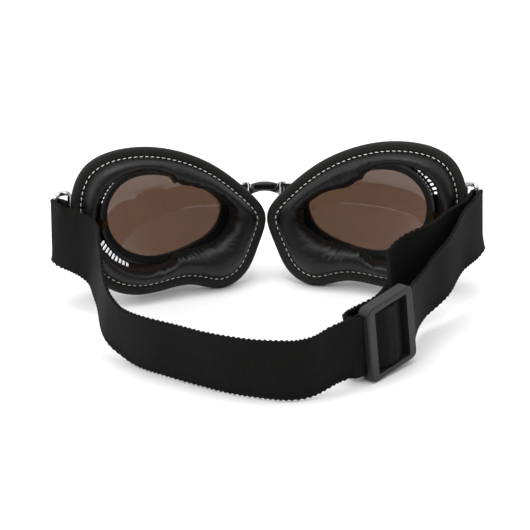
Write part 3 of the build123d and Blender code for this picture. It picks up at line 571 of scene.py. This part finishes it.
def webbing_piece(name, line, widths, start=0.0):
    """Webbing along the line of its middle, with the direction of its width at every point."""
    line = [Vector(point) for point in line]
    gone = np.concatenate([[0], np.cumsum([(b - a).length for a, b in zip(line, line[1:])])]) / MM + start
    mesh = bmesh.new()
    bmesh.ops.create_grid(mesh, x_segments=len(line) - 1, y_segments=len(WEB_SECTION), size=1.0)
    along = mesh.verts.layers.float.new("along")
    over = mesh.verts.layers.float.new("over")
    for vert in mesh.verts:
        i = round((vert.co.x + 1) / 2 * (len(line) - 1))
        share, face = WEB_SECTION[round((vert.co.y + 1) / 2 * len(WEB_SECTION)) % len(WEB_SECTION)]
        way = (line[min(i + 1, len(line) - 1)] - line[max(i - 1, 0)]).normalized()
        out = way.cross(widths[i]).normalized()
        width = out.cross(way).normalized()
        rib = RIB_HEIGHT * math.sin(2 * math.pi * gone[i] / RIB_PITCH) * max(0.0, abs(share) - 0.9) / 0.1
        reach_out = share * (STRAP_HALF - RIB_HEIGHT) + rib * (1 if share > 0 else -1)
        vert[along], vert[over] = gone[i], reach_out
        vert.co = line[i] + (width * reach_out + out * face * STRAP_THICKNESS / 2) * MM
    bmesh.ops.remove_doubles(mesh, verts=mesh.verts, dist=1e-7)
    rim = [edge for edge in mesh.edges if edge.is_boundary]
    for edge in rim:
        edge.smooth = False
    bmesh.ops.holes_fill(mesh, edges=rim)
    bmesh.ops.recalc_face_normals(mesh, faces=mesh.faces)
    data = bpy.data.meshes.new(name)
    mesh.to_mesh(data)
    mesh.free()
    data.polygons.foreach_set("use_smooth", [True] * len(data.polygons))
    made = bpy.data.objects.new(name, data)
    bpy.context.scene.collection.objects.link(made)
    data.materials.append(black_webbing)
    return made


def loop_bar(side):
    """Where the strap's bar of a side's loop stands, in the cup's flat drawing."""
    angle = math.radians(LOOP_ANGLES[side])
    return LOOP_PIVOT + Vector((math.cos(angle), -math.sin(angle), 0)) * LOOP_REACH


def wrap_point(side, angle):
    """A point of the strap's turn round the loop's bar."""
    return cup_place(side) @ (loop_bar(side) + Vector((math.cos(angle), math.sin(angle), 0)) * WRAP_RADIUS)


def wrap_end(side, outboard):
    """The end of the turn, and the way that the strap leaves it."""
    facing = Vector((math.cos(WRAP_FACING), math.sin(WRAP_FACING), 0))
    way = cup_place(side) @ loop_bar(side) - cup_place(side) @ (loop_bar(side) + facing)
    return wrap_point(side, WRAP_FACING - outboard * math.pi / 2), way.normalized()


bars = {side: cup_place(side) @ loop_bar(side) for side in (1, -1)}
span = {side: abs(bars[side].x - nose.x) / MM for side in bars}
strap_back = (bars[1].y + bars[-1].y) / 2 - nose.y
bar_level = (bars[1].z + bars[-1].z) / 2 / MM
upright = Vector((0, math.sin(REST_PITCH), math.cos(REST_PITCH)))

# the slider's own frame: X along the strap to the wearer's left, Y out of its front face
slider_x = Vector((-23.0, -23.4, -3.0)).normalized()
slider_up = Vector((-3.8, -2.0, 36.0))
slider_z = (slider_up - slider_x * slider_up.dot(slider_x)).normalized()
slider_y = slider_z.cross(slider_x)
slider_place = Matrix.Translation(joints["slider_slide"]["pos_m"]) @ (
    Matrix((slider_x, slider_y, slider_z)).transposed().to_4x4() @ Matrix.Scale(MM, 4))


def stand(rows):
    """Middles and widths of the strap where it stands: across, back, rise and two leans."""
    for x, y, rise, lean_x, lean_y in rows:
        width = Vector((lean_x, lean_y, 1)).normalized()
        level = STRAP_HALF * width.z + EDGE_LIFT + rise * (bar_level - STRAP_HALF)
        aside = x * span[1 if x > 0 else -1] * MM
        yield Vector((nose.x + aside, nose.y + strap_back - y * STRAP_DEPTH * MM, level * MM)), width


# the strap as it stands, run by run: across and back as shares of the span and the strap's depth,
# height as a share of the way up to the loops' bars, and the lean of its width along X and Y
MAIN_RUN = [
    (-0.989, 0.050, 0.98, 0.00, 0.22), (-0.939, 0.095, 0.97, 0.00, 0.25),
    (-0.884, 0.139, 0.95, 0.00, 0.30), (-0.844, 0.192, 0.87, 0.10, 0.20),
    (-0.824, 0.272, 0.75, 0.07, 0.10), (-0.809, 0.365, 0.59, 0.04, 0.00),
    (-0.797, 0.463, 0.39, 0.03, -0.10), (-0.773, 0.538, 0.20, 0.02, -0.25),
    (-0.720, 0.605, 0.06, 0.01, -0.33), (-0.664, 0.667, 0.01, 0.00, -0.27),
    (-0.590, 0.733, 0.01, 0.00, -0.20), (-0.476, 0.802, 0.00, 0.00, -0.15),
    (-0.363, 0.873, 0.00, 0.00, -0.15), (-0.250, 0.933, 0.00, 0.00, -0.09),
    (-0.137, 0.974, 0.00, 0.00, -0.07), (-0.024, 0.999, 0.00, 0.00, 0.00),
    (0.053, 1.000, 0.00, 0.00, 0.00), (0.131, 0.979, 0.03, 0.00, 0.00),
    (0.183, 0.947, 0.07, 0.00, 0.00), (0.230, 0.919, 0.12, -0.03, -0.02),
    (0.278, 0.895, 0.15, -0.06, -0.03), (0.325, 0.877, 0.17, -0.09, -0.05),
]
OUTER_RUN = [
    (0.996, 0.055, 0.98, 0.00, 0.23), (0.963, 0.103, 0.94, 0.00, 0.20),
    (0.897, 0.192, 0.82, 0.10, 0.13), (0.820, 0.299, 0.57, 0.08, 0.03),
    (0.712, 0.405, 0.30, 0.14, 0.00), (0.657, 0.499, 0.23, 0.05, 0.00),
    (0.629, 0.578, 0.23, -0.04, -0.02),
]
INNER_RUN = [
    (0.943, 0.077, 0.97, 0.00, 0.22), (0.892, 0.133, 0.95, 0.00, 0.20),
    (0.833, 0.192, 0.93, 0.00, 0.20), (0.753, 0.281, 0.89, 0.00, 0.15),
    (0.672, 0.334, 0.84, 0.00, 0.20), (0.606, 0.372, 0.73, 0.00, 0.20),
    (0.563, 0.414, 0.63, 0.00, 0.28), (0.533, 0.481, 0.53, 0.00, 0.30),
    (0.515, 0.570, 0.40, 0.00, 0.20), (0.483, 0.658, 0.28, -0.05, 0.05),
    (0.433, 0.717, 0.24, -0.10, -0.04),
]


def run(name, node_name, rows, first, last, bodies):
    """Webbing from one end to the other, in pieces: a (length, body) piece is attached to that body; a
    (length, body, next body) piece stays where it lies, and its bodies are not used.
    """
    inner = list(stand(rows))
    middles = [first[0], *(middle for middle, _ in inner), last[0]]
    widths = [first[2], *(width for _, width in inner), last[2]]
    line, marks = smooth_path(middles, first[1], last[1])
    leans = [widths[int(mark)].lerp(widths[min(int(mark) + 1, len(widths) - 1)], mark % 1) for mark in marks]
    gone = np.concatenate([[0], np.cumsum(np.linalg.norm(np.diff(line, axis=0), axis=1))]) / MM
    begin = 0
    for number, (length, *held) in enumerate(bodies):
        end = len(line) - 1 if number == len(bodies) - 1 else int(np.searchsorted(
            gone, gone[begin] + length if length > 0 else gone[-1] + length))
        piece = webbing_piece(
            name + "_" + str(number + 1), line[begin:end + 1], leans[begin:end + 1], gone[begin])
        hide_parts(node_name)
        if len(held) == 1:
            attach(piece, held[0])
        else:
            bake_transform(piece)
        begin = end


def slider_end(x, y, facing):
    spot = slider_place @ Vector((x, y, 0))
    return spot, slider_x * facing, slider_z


left_out, left_way = wrap_end(-1, 1)
right_out, right_way = wrap_end(1, 1)
right_in, _ = wrap_end(1, -1)
run("strap_main", "strap_main_run", MAIN_RUN, (left_out, left_way, upright), slider_end(16.5, -1.6, -1),
    [(15, "left_loop", "left_cup"), (95, "left_cup", "bridge"), (-30, "bridge"), (30, "bridge", "slider")])
run("strap_outer", "strap_outer_run", OUTER_RUN, (right_out, right_way, upright), slider_end(-16.5, -1.6, 1),
    [(12, "right_loop", "right_cup"), (40, "right_cup", "bridge"), (-15, "bridge"), (15, "bridge", "slider")])
run("strap_inner", "strap_inner_run", INNER_RUN, (right_in, right_way, upright), slider_end(13.0, -10.95, 1),
    [(12, "right_loop", "right_cup"), (45, "right_cup", "bridge"), (-20, "bridge"), (20, "bridge", "slider")])

# the strap's turns round the loops' bars; the left one ends in the sewn tail
for name, side in SIDES.items():
    turns = [WRAP_FACING + a for a in np.linspace(-math.pi / 2, math.pi / 2, 17)]
    line = [wrap_point(side, angle) for angle in turns]
    replaced = [name + "_strap_wrap"]
    if side < 0:
        line += [line[-1] + left_way * step * MM for step in np.arange(0.5, 8.1, 0.5)]
        replaced.append("strap_left_tail")
    turned = webbing_piece(name + "_strap_turn", line, [upright] * len(line))
    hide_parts(*replaced)
    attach(turned, name + "_loop")

# through the slider, and the sewn end round its centre bar with the fold behind it
THROUGH = [(16.5, -1.6), (9.9, -1.6), (2.9, 1.45), (-2.9, 1.45), (-9.9, -1.6), (-16.5, -1.6)]
SEWN_END = [(9.5, -3.2), (6.3, -3.2), (2.5, -0.1), (-2.5, -0.1), (-2.5, -4.2), (2.5, -4.2), (4.7, -4.75),
            (18.6, -4.75), (18.6, -10.95), (13.0, -10.95)]
for node_name, corners, bend in (("strap_in_slider", THROUGH, 1.5), ("strap_sewn_end", SEWN_END, 3.1)):
    flat_line = rounded([(x, y, 0) for x, y in corners], bend)
    line = [slider_place @ point for point in flat_line]
    woven = webbing_piece(node_name + "_webbing", line, [slider_z] * len(line))
    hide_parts(node_name)
    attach(woven, "slider")

# ---- slider -------------------------------------------------------------------------------------
# A three-bar slider, injection moulded in dark nylon with a fine matt texture from the mould.
moulded_nylon = new_material("dark_moulded_nylon")
where = node(moulded_nylon, "ShaderNodeTexCoord")
texture = node(moulded_nylon, "ShaderNodeTexNoise", {"Scale": 1500.0, "Detail": 3.0},
               [("Vector", where, "Object")])
relief = node(moulded_nylon, "ShaderNodeBump", {"Strength": 0.25, "Distance": 0.0002},
              [("Height", texture, "Fac")])
surface(moulded_nylon, {"Base Color": linear("1D1D1C"), "Roughness": 0.5, "Specular IOR Level": 0.35},
        [("Normal", relief, "Normal")])
finish_cad(["slider"], moulded_nylon)
